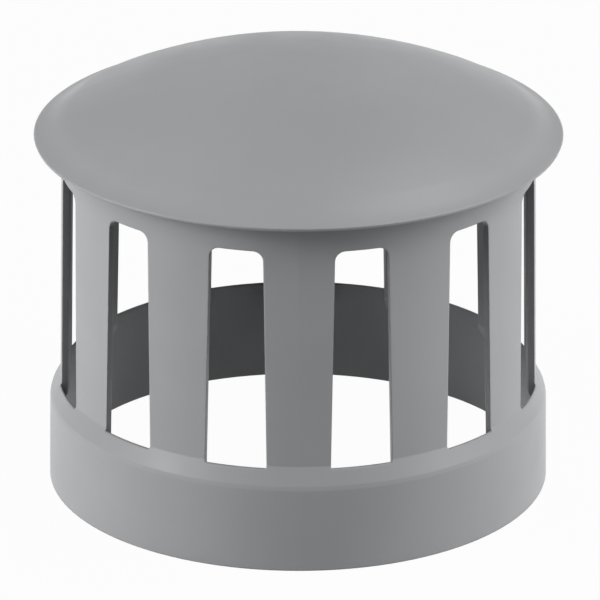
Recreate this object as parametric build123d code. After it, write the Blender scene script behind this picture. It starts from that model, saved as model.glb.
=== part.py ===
from build123d import *
import os
from math import cos, radians, sin, sqrt, tan

# Roof vent cap for a 110 mm pipe, one plastic moulding.
# Millimetres, +Z up, axis on Z. The collar stands on z = 0 and the pipe enters it from below.
# One slat is centred on -Y, the front.

# Collar and its socket
PIPE_D = 110.0              # outside diameter of the pipe that the cap slips over
PIPE_PLAY = 0.45            # radial play between pipe and socket
SOCKET_DEPTH = 18.9         # straight bore from the mouth to the foot of the pipe stop
COLLAR_WALL = 2.5           # wall of the collar at its mouth
COLLAR_HEIGHT = 20.0        # from the mouth to the foot of the outer chamfer
COLLAR_DRAFT = 0.9          # degrees, the collar narrows upward
COLLAR_EDGE = 0.5           # bevel between collar and chamfer, measured along either of them
CHAMFER_HEIGHT = 4.5        # outer chamfer from the collar in to the slats
STOP_HEIGHT = 4.0           # inner cone under the slats that stops the pipe

# Slatted wall
SLAT_INSET = 0.26           # slat faces stand this far inside the bore at the top of the chamfer
WALL = 2.1                  # wall thickness of the slats and of the band above them
WALL_DRAFT = 0.83           # degrees, the wall narrows upward
SLOT_COUNT = 12
SLOT_WIDTH = 14.3           # width of a slot at the top of the chamfer
SLOT_DRAFT = 1.08           # degrees per side, the slots narrow upward
SLOT_HEIGHT = 51.6          # from the top of the chamfer to the top of a slot
SLOT_CORNER_R = 2.4         # round of the upper slot corners
SLOT_CORE_DRAFT = 0.3       # degrees, on the core faces that close the slots
SLAT_EDGE = 0.65            # depth of the bevel on the inner edges of the slats
SLAT_EDGE_ANGLE = 45.0      # degrees, of that bevel to the slot's flank
BAND_HEIGHT = 7.9           # from the top of a slot to the middle of the rim edge

# Dome with its brim
RIM_OVERHANG = 2.7          # the rim stands out this far beyond the collar's mouth
RIM_EDGE = 0.8              # thickness of the rim edge
RIM_BEVEL = 0.22            # bevel above the outermost line of the rim edge, which leans in below it
BRIM_WIDTH = 4.3            # hollow run of the S-curve, next to the rim
SHOULDER_WIDTH = 3.0        # full run of the S-curve, next to the crown
CROWN_SLOPE = 26.3          # degrees, slope of the spherical crown at its foot
SHOULDER_TURN = 8.7         # degrees that the shoulder steepens
BRIM_TURN = 17.0            # degrees that the brim flattens again
BRIM_UNDERSIDE = 16.0       # degrees, the underside rises inward and leaves a drip edge
CROWN_WALL = 2.0            # wall thickness of the crown
CROWN_ROOT = 1.2            # bevel between the wall and the underside of the crown

# Radii and heights that follow from these
BORE_R = PIPE_D / 2 + PIPE_PLAY
COLLAR_R = BORE_R + COLLAR_WALL
COLLAR_TOP_R = COLLAR_R - COLLAR_HEIGHT * tan(radians(COLLAR_DRAFT))
CHAMFER_TOP = COLLAR_HEIGHT + CHAMFER_HEIGHT
STOP_TOP = SOCKET_DEPTH + STOP_HEIGHT
SLOT_TOP = CHAMFER_TOP + SLOT_HEIGHT
SLOT_PITCH = 360 / SLOT_COUNT
RIM_R = COLLAR_R + RIM_OVERHANG
BRIM_END_R = RIM_R - RIM_BEVEL
RIM_Z = SLOT_TOP + BAND_HEIGHT
RIM_TOP = RIM_Z + RIM_EDGE / 2
RIM_FOOT = RIM_Z - RIM_EDGE / 2

# Arcs of the S-curve, and the ball of the crown
SHOULDER_SLOPE = CROWN_SLOPE + SHOULDER_TURN
BRIM_SLOPE = SHOULDER_SLOPE - BRIM_TURN
SHOULDER_R = SHOULDER_WIDTH / (sin(radians(SHOULDER_SLOPE)) - sin(radians(CROWN_SLOPE)))
BRIM_R = BRIM_WIDTH / (sin(radians(SHOULDER_SLOPE)) - sin(radians(BRIM_SLOPE)))
SHOULDER_DROP = SHOULDER_R * (cos(radians(CROWN_SLOPE)) - cos(radians(SHOULDER_SLOPE)))
BRIM_DROP = BRIM_R * (cos(radians(BRIM_SLOPE)) - cos(radians(SHOULDER_SLOPE)))
CROWN_FOOT_R = BRIM_END_R - BRIM_WIDTH - SHOULDER_WIDTH
CROWN_FOOT_Z = RIM_TOP + BRIM_DROP + SHOULDER_DROP
CROWN_R = CROWN_FOOT_R / sin(radians(CROWN_SLOPE))
CROWN_CENTRE_Z = CROWN_FOOT_Z - CROWN_R * cos(radians(CROWN_SLOPE))
APEX = CROWN_CENTRE_Z + CROWN_R

FRONT_HALF = Plane((0, 0, 0), x_dir=(0, -1, 0), z_dir=(-1, 0, 0))
UPWARD = (Align.CENTER, Align.CENTER, Align.MIN)


def wall_radius(z):
    """Outer radius of the drafted wall at height z."""
    return BORE_R - SLAT_INSET - (z - CHAMFER_TOP) * tan(radians(WALL_DRAFT))


def inner_radius(z):
    """Inner radius of the drafted wall at height z."""
    return wall_radius(z) - WALL


def crown_ball(radius):
    """Ball about the crown's centre. Its poles lie level, away from the apex."""
    return Pos(0, 0, CROWN_CENTRE_Z) * Rot(90, 0, 0) * Sphere(radius)


def outer_form():
    """The cap as if it were solid, from the collar's mouth to the apex."""
    foot_tangent = (cos(radians(CROWN_SLOPE)), -sin(radians(CROWN_SLOPE)))
    shoulder = JernArc((CROWN_FOOT_R, CROWN_FOOT_Z), foot_tangent, SHOULDER_R, -SHOULDER_TURN)
    brim = JernArc(shoulder @ 1, shoulder % 1, BRIM_R, BRIM_TURN)

    # The underside of the brim rises inward until it meets the drafted wall
    rise = tan(radians(BRIM_UNDERSIDE))
    root_z = (RIM_FOOT + rise * (BRIM_END_R - wall_radius(0))) / (1 - rise * tan(radians(WALL_DRAFT)))

    chamfer_top = Vector(wall_radius(CHAMFER_TOP), CHAMFER_TOP)
    collar_top = Vector(COLLAR_TOP_R, COLLAR_HEIGHT)
    mouth = Vector(COLLAR_R, 0)
    outline = Polyline(
        brim @ 1,
        (RIM_R, RIM_TOP - RIM_BEVEL),
        (BRIM_END_R, RIM_FOOT),
        (wall_radius(root_z), root_z),
        chamfer_top,
        collar_top + (chamfer_top - collar_top).normalized() * COLLAR_EDGE,
        collar_top + (mouth - collar_top).normalized() * COLLAR_EDGE,
        mouth,
        (0, 0),
        (0, CROWN_FOOT_Z),
        shoulder @ 0,
    )
    skirt = revolve(FRONT_HALF * make_face([shoulder, brim, outline]), Axis.Z)
    crown = crown_ball(CROWN_R) & Pos(0, 0, CROWN_FOOT_Z) * Cylinder(RIM_R, CROWN_R, align=UPWARD)
    return skirt + crown


def inner_form():
    """The space inside the cap: bore, pipe stop, drafted wall and the crown's underside."""
    outline = Polyline(
        (0, 0),
        (BORE_R, 0),
        (BORE_R, SOCKET_DEPTH),
        (inner_radius(STOP_TOP), STOP_TOP),
        (inner_radius(APEX), APEX),
        (0, APEX),
        close=True,
    )
    space = revolve(FRONT_HALF * make_face(outline), Axis.Z) & crown_ball(CROWN_R - CROWN_WALL)
    crown_root = space.edges().filter_by(GeomType.CIRCLE).sort_by(Axis.Z)[-1]
    return chamfer(crown_root, CROWN_ROOT)


def slot_outline():
    """Outline of a slot seen from the axis, its foot at the foot of the pipe stop, Y up."""
    taper = tan(radians(SLOT_DRAFT))
    half_top = SLOT_WIDTH / 2 - SLOT_HEIGHT * taper
    half_foot = SLOT_WIDTH / 2 + (CHAMFER_TOP - SOCKET_DEPTH) * taper
    outline = make_face(
        Polyline(
            (-half_foot, SOCKET_DEPTH),
            (half_foot, SOCKET_DEPTH),
            (half_top, SLOT_TOP),
            (-half_top, SLOT_TOP),
            close=True,
        )
    )
    return fillet(outline.vertices().group_by(Axis.Y)[-1], SLOT_CORNER_R)


def slot_core():
    """The moulding core's tooth that leaves one slot, along +X from the axis."""
    tooth = extrude(Plane.YZ * slot_outline(), BORE_R + WALL)
    reach = SLOT_TOP - SOCKET_DEPTH
    top_r = BORE_R - reach * tan(radians(SLOT_CORE_DRAFT))
    return tooth & Pos(0, 0, SOCKET_DEPTH) * Cone(BORE_R, top_r, reach, align=UPWARD)


def slot_flare():
    """The root of that tooth, which widens towards the axis and bevels the slats' inner edges."""
    draft = radians(WALL_DRAFT)
    edge_x = sqrt(inner_radius(CHAMFER_TOP) ** 2 - (SLOT_WIDTH / 2) ** 2)
    foot_x = edge_x + SLAT_EDGE + CHAMFER_TOP * tan(draft)
    inward = Plane((foot_x, 0, 0), x_dir=(0, -1, 0), z_dir=(-cos(draft), 0, -sin(draft)))
    return extrude(inward * slot_outline(), SLAT_EDGE + WALL, taper=-SLAT_EDGE_ANGLE)


def vent_cap():
    """The whole moulding: the outer form less the space inside and the ring of slots."""
    slots = PolarLocations(0, SLOT_COUNT, start_angle=SLOT_PITCH / 2 - 90)
    shell = outer_form() - inner_form()
    return shell - slots * slot_core() - slots * slot_flare()


os.makedirs("parts", exist_ok=True)
export_step(vent_cap(), "parts/vent_cap.step")
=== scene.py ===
"""Roof vent cap: plastic finish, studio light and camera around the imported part.

Everything is in metres, in the part's own frame: +Z up, the front on -Y.
"""

from math import cos, radians, sin

import bpy
from mathutils import Matrix, Vector

# Camera, fitted to the rim, collar and slot edges of the photograph
AIM = Vector((0.0004, 0.0, 0.04226))
CAMERA_AZIMUTH = -0.2           # degrees, positive to the right of the front
CAMERA_ELEVATION = 22.507       # degrees above the floor
CAMERA_DISTANCE = 1.5673        # from the aim point
CAMERA_ROLL = 0.105             # degrees, the picture leans this far clockwise
IMAGE_SIDE = 600                # pixels, square
FOCAL_PIXELS = 6770.7           # focal length in pixels of that image
SENSOR = 36.0                   # millimetres

# Grey plastic
GREY = (0.335, 0.34, 0.35, 1.0)
GREY_DEEP = (0.322, 0.327, 0.337, 1.0)
GREY_WORN = (0.43, 0.435, 0.445, 1.0)
# Painted shade: a darker grey put into the colour where the cap's own surfaces hide the sky, under the
# rim, inside and in corners
GREY_PAINTED_SHADE = (0.15, 0.153, 0.159, 1.0)
PAINTED_SHADE_REACH = 0.12            # surfaces of the cap within this reach darken each other's colour with painted shade
PAINTED_SHADE_FULL = 0.25                # share of open sky where the painted shade shows fully
PAINTED_SHADE_NONE = 0.95                  # share of open sky where no painted shade is left
MOTTLE_SCALE = 34.0             # slow drift of the colour, per metre
MOTTLE_DETAIL = 3.0
MOTTLE_SPAN = (0.35, 0.65)      # noise values between which the colour drifts
SHEEN_SCALE = 90.0              # patches of more and less gloss, per metre
SHEEN_DETAIL = 4.0
SHEEN_SPAN = (0.3, 0.7)         # noise values between which the gloss changes
GLOSSY = 0.34                   # roughness of the glossiest patches
DULL = 0.43                     # roughness of the dullest patches
REFLECTION = 0.38               # a fine matt grain reflects less than polished plastic
GRAIN_SCALE = 2600.0            # moulded grain, per metre
GRAIN_DETAIL = 2.0
GRAIN_HEIGHT = 0.00004
GRAIN_STRENGTH = 0.12
EDGE_SOFTNESS = 0.0005          # radius over which edges look rounded
WORN_FROM = 0.01                # turn of an edge's normal where its wear begins to show
WORN_FULL = 0.25                # turn where it shows fully
WORN_SHARE = 0.35               # how much of the worn grey shows there

# Floor, backdrop and surroundings
STAGE_RADIUS = 8.0
STAGE_SIDES = 128
BACKDROP_HEIGHT = 0.6
FLOOR_DROP = 0.00005            # keeps the floor just under the collar's mouth
STAGE_COLOR = (0.35, 0.35, 0.35, 1.0)
STAGE_WHITE = 0.97              # share of plain white that the stage shows as background
AMBIENT = 0.02

# Soft lights around the cap: azimuth 0 is the camera's side, positive to the right
LIGHT_DISTANCE = 1.1
LIGHTS = {
    "left": {"azimuth": -57, "elevation": 42, "width": 0.7, "height": 0.5, "watts": 2.4},
    "right": {"azimuth": 72, "elevation": 42, "width": 0.6, "height": 0.5, "watts": 4.0},
    "top": {"azimuth": 60, "elevation": 64, "width": 0.6, "height": 0.6, "watts": 2.8},
    "rear": {"azimuth": 180, "elevation": 26, "width": 0.6, "height": 0.6, "watts": 0.48},
    "rear_right": {"azimuth": 126, "elevation": 62, "width": 0.22, "height": 0.22, "watts": 1.0},
    "left_key": {"azimuth": -66, "elevation": 25, "width": 0.5, "height": 0.24, "watts": 3.2},
    "right_key": {"azimuth": 78, "elevation": 25, "width": 0.5, "height": 0.24, "watts": 1.6},
}

# Low panels that brighten the sides and the back, and leave no glint
FILLS = {
    "left_fill": {"azimuth": -83, "elevation": 9, "width": 0.7, "height": 0.26, "watts": 7.8},
    "right_fill": {"azimuth": 90, "elevation": 9, "width": 0.6, "height": 0.26, "watts": 5.8},
    "rear_fill": {"azimuth": 180, "elevation": 14, "width": 0.9, "height": 0.4, "watts": 2.8},
}


def new_nodes(owner):
    """Empty node tree of a material or world."""
    owner.use_nodes = True
    tree = owner.node_tree
    tree.nodes.clear()
    return tree


def noise(tree, place, scale, detail):
    """Noise over the part's own coordinates."""
    node = tree.nodes.new("ShaderNodeTexNoise")
    node.inputs["Scale"].default_value = scale
    node.inputs["Detail"].default_value = detail
    tree.links.new(place.outputs["Object"], node.inputs["Vector"])
    return node.outputs["Fac"]


def map_range(tree, value, low, high, to_low, to_high):
    """Value brought from low..high to to_low..to_high, held at the ends."""
    node = tree.nodes.new("ShaderNodeMapRange")
    node.inputs["From Min"].default_value = low
    node.inputs["From Max"].default_value = high
    node.inputs["To Min"].default_value = to_low
    node.inputs["To Max"].default_value = to_high
    tree.links.new(value, node.inputs["Value"])
    return node.outputs["Result"]


def mix_colors(tree, share, first, second):
    """Colour that goes from first to second with share. Each is a plain colour or a socket."""
    node = tree.nodes.new("ShaderNodeMixRGB")
    tree.links.new(share, node.inputs["Fac"])
    for socket, color in ((node.inputs["Color1"], first), (node.inputs["Color2"], second)):
        if isinstance(color, tuple):
            socket.default_value = color
        else:
            tree.links.new(color, socket)
    return node.outputs["Color"]


def edge_turn(tree, soft_normal):
    """0 on smooth faces, rising where the softened normal turns away from the true one at an edge."""
    geometry = tree.nodes.new("ShaderNodeNewGeometry")
    along = tree.nodes.new("ShaderNodeVectorMath")
    along.operation = "DOT_PRODUCT"
    tree.links.new(soft_normal, along.inputs[0])
    tree.links.new(geometry.outputs["Normal"], along.inputs[1])
    turn = tree.nodes.new("ShaderNodeMath")
    turn.operation = "SUBTRACT"
    turn.inputs[0].default_value = 1.0
    tree.links.new(along.outputs["Value"], turn.inputs[1])
    return turn.outputs[0]


def grey_plastic():
    """Satin grey plastic: colour drift, grain, uneven sheen, painted shade where the cap shades itself,
    paler edges.
    """
    material = bpy.data.materials.new("grey_plastic")
    tree = new_nodes(material)
    place = tree.nodes.new("ShaderNodeTexCoord")

    soft = tree.nodes.new("ShaderNodeBevel")
    soft.inputs["Radius"].default_value = EDGE_SOFTNESS
    grain = tree.nodes.new("ShaderNodeBump")
    grain.inputs["Strength"].default_value = GRAIN_STRENGTH
    grain.inputs["Distance"].default_value = GRAIN_HEIGHT
    tree.links.new(noise(tree, place, GRAIN_SCALE, GRAIN_DETAIL), grain.inputs["Height"])
    tree.links.new(soft.outputs["Normal"], grain.inputs["Normal"])

    mottle = noise(tree, place, MOTTLE_SCALE, MOTTLE_DETAIL)
    drift = map_range(tree, mottle, *MOTTLE_SPAN, 0.0, 1.0)
    plain = mix_colors(tree, drift, GREY, GREY_DEEP)
    # Painted shade: the colour goes to the darker grey where the cap's own surfaces hide the open sky
    painted_shade_ao = tree.nodes.new("ShaderNodeAmbientOcclusion")
    painted_shade_ao.only_local = True
    painted_shade_ao.inputs["Distance"].default_value = PAINTED_SHADE_REACH
    clear_of_painted_shade = map_range(tree, painted_shade_ao.outputs["AO"], PAINTED_SHADE_FULL, PAINTED_SHADE_NONE, 0.0, 1.0)
    painted_shade_color = mix_colors(tree, clear_of_painted_shade, GREY_PAINTED_SHADE, plain)
    wear = map_range(tree, edge_turn(tree, soft.outputs["Normal"]), WORN_FROM, WORN_FULL, 0.0, WORN_SHARE)
    color = mix_colors(tree, wear, painted_shade_color, GREY_WORN)
    sheen = noise(tree, place, SHEEN_SCALE, SHEEN_DETAIL)
    roughness = map_range(tree, sheen, *SHEEN_SPAN, GLOSSY, DULL)

    shader = tree.nodes.new("ShaderNodeBsdfPrincipled")
    shader.inputs["Specular IOR Level"].default_value = REFLECTION
    tree.links.new(color, shader.inputs["Base Color"])
    tree.links.new(roughness, shader.inputs["Roughness"])
    tree.links.new(grain.outputs["Normal"], shader.inputs["Normal"])
    output = tree.nodes.new("ShaderNodeOutputMaterial")
    tree.links.new(shader.outputs["BSDF"], output.inputs["Surface"])
    return material


def direction(azimuth, elevation):
    """Unit vector from the cap towards a place around it."""
    level = cos(radians(elevation))
    return Vector((
        sin(radians(azimuth)) * level,
        -cos(radians(azimuth)) * level,
        sin(radians(elevation)),
    ))


def soft_light(name, glints, azimuth, elevation, width, height, watts):
    """Light panel that faces the cap and stays out of the picture itself."""
    light = bpy.data.lights.new(name, "AREA")
    light.shape = "RECTANGLE"
    light.size = width
    light.size_y = height
    light.energy = watts
    lamp = bpy.data.objects.new(name, light)
    lamp.visible_camera = False
    lamp.visible_glossy = glints
    bpy.context.collection.objects.link(lamp)
    towards = direction(azimuth, elevation)
    lamp.location = AIM + towards * LIGHT_DISTANCE
    lamp.rotation_euler = (-towards).to_track_quat("-Z", "Y").to_euler()


def place_camera():
    """Camera at the photograph's viewing angle and framing."""
    data = bpy.data.cameras.new("camera")
    data.sensor_width = SENSOR
    data.lens = SENSOR * FOCAL_PIXELS / IMAGE_SIDE
    camera = bpy.data.objects.new("camera", data)
    bpy.context.collection.objects.link(camera)
    back = direction(CAMERA_AZIMUTH, CAMERA_ELEVATION)
    camera.location = AIM + back * CAMERA_DISTANCE
    look = (-back).to_track_quat("-Z", "Y").to_matrix()
    roll = Matrix.Rotation(radians(CAMERA_ROLL), 3, "Z")
    camera.rotation_euler = (look @ roll).to_euler()
    bpy.context.scene.camera = camera


def background_rays(tree):
    """1 for the rays that show the background: from the camera, off gloss or through glass."""
    path = tree.nodes.new("ShaderNodeLightPath")
    first = tree.nodes.new("ShaderNodeMath")
    first.operation = "MAXIMUM"
    tree.links.new(path.outputs["Is Camera Ray"], first.inputs[0])
    tree.links.new(path.outputs["Is Glossy Ray"], first.inputs[1])
    both = tree.nodes.new("ShaderNodeMath")
    both.operation = "MAXIMUM"
    tree.links.new(first.outputs[0], both.inputs[0])
    tree.links.new(path.outputs["Is Transmission Ray"], both.inputs[1])
    return both.outputs[0]


def mix_shaders(tree, share, first, second):
    """Shader that goes from first to second with share."""
    node = tree.nodes.new("ShaderNodeMixShader")
    tree.links.new(share, node.inputs[0])
    tree.links.new(first, node.inputs[1])
    tree.links.new(second, node.inputs[2])
    return node.outputs[0]


def white_stage():
    """Matte material that shows white as the background and keeps a faint shadow."""
    material = bpy.data.materials.new("stage")
    tree = new_nodes(material)
    matte = tree.nodes.new("ShaderNodeBsdfDiffuse")
    matte.inputs["Color"].default_value = STAGE_COLOR
    white = tree.nodes.new("ShaderNodeEmission")
    share = map_range(tree, background_rays(tree), 0.0, 1.0, 0.0, STAGE_WHITE)
    output = tree.nodes.new("ShaderNodeOutputMaterial")
    surface = mix_shaders(tree, share, matte.outputs[0], white.outputs[0])
    tree.links.new(surface, output.inputs["Surface"])
    return material


def make_stage():
    """Round floor with a low backdrop around its edge, which closes the horizon."""
    material = white_stage()
    bpy.ops.mesh.primitive_circle_add(vertices=STAGE_SIDES, radius=STAGE_RADIUS, fill_type="NGON")
    floor = bpy.context.object
    floor.name = "floor"
    floor.location.z = -FLOOR_DROP
    bpy.ops.mesh.primitive_cylinder_add(
        vertices=STAGE_SIDES, radius=STAGE_RADIUS, depth=BACKDROP_HEIGHT, end_fill_type="NOTHING"
    )
    backdrop = bpy.context.object
    backdrop.name = "backdrop"
    backdrop.location.z = BACKDROP_HEIGHT / 2
    for piece in (floor, backdrop):
        piece.data.materials.append(material)


def make_world():
    """Dim surroundings, so that the lamps alone shape the cap."""
    world = bpy.data.worlds.new("studio")
    bpy.context.scene.world = world
    tree = new_nodes(world)
    dim = tree.nodes.new("ShaderNodeBackground")
    dim.inputs["Strength"].default_value = AMBIENT
    output = tree.nodes.new("ShaderNodeOutputWorld")
    tree.links.new(dim.outputs[0], output.inputs["Surface"])


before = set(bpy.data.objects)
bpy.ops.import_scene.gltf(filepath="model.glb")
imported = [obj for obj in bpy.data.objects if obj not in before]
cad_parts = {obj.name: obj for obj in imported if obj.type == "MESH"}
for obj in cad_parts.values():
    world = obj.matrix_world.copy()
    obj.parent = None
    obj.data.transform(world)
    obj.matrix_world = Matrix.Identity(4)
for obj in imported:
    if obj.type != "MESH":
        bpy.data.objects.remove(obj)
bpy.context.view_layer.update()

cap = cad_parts["vent_cap"]
cap.data.materials.clear()
cap.data.materials.append(grey_plastic())

place_camera()
make_stage()
make_world()
for light_name, setting in LIGHTS.items():
    soft_light(light_name, True, **setting)
for fill_name, setting in FILLS.items():
    soft_light(fill_name, False, **setting)
bpy.context.scene.view_settings.view_transform = "Standard"
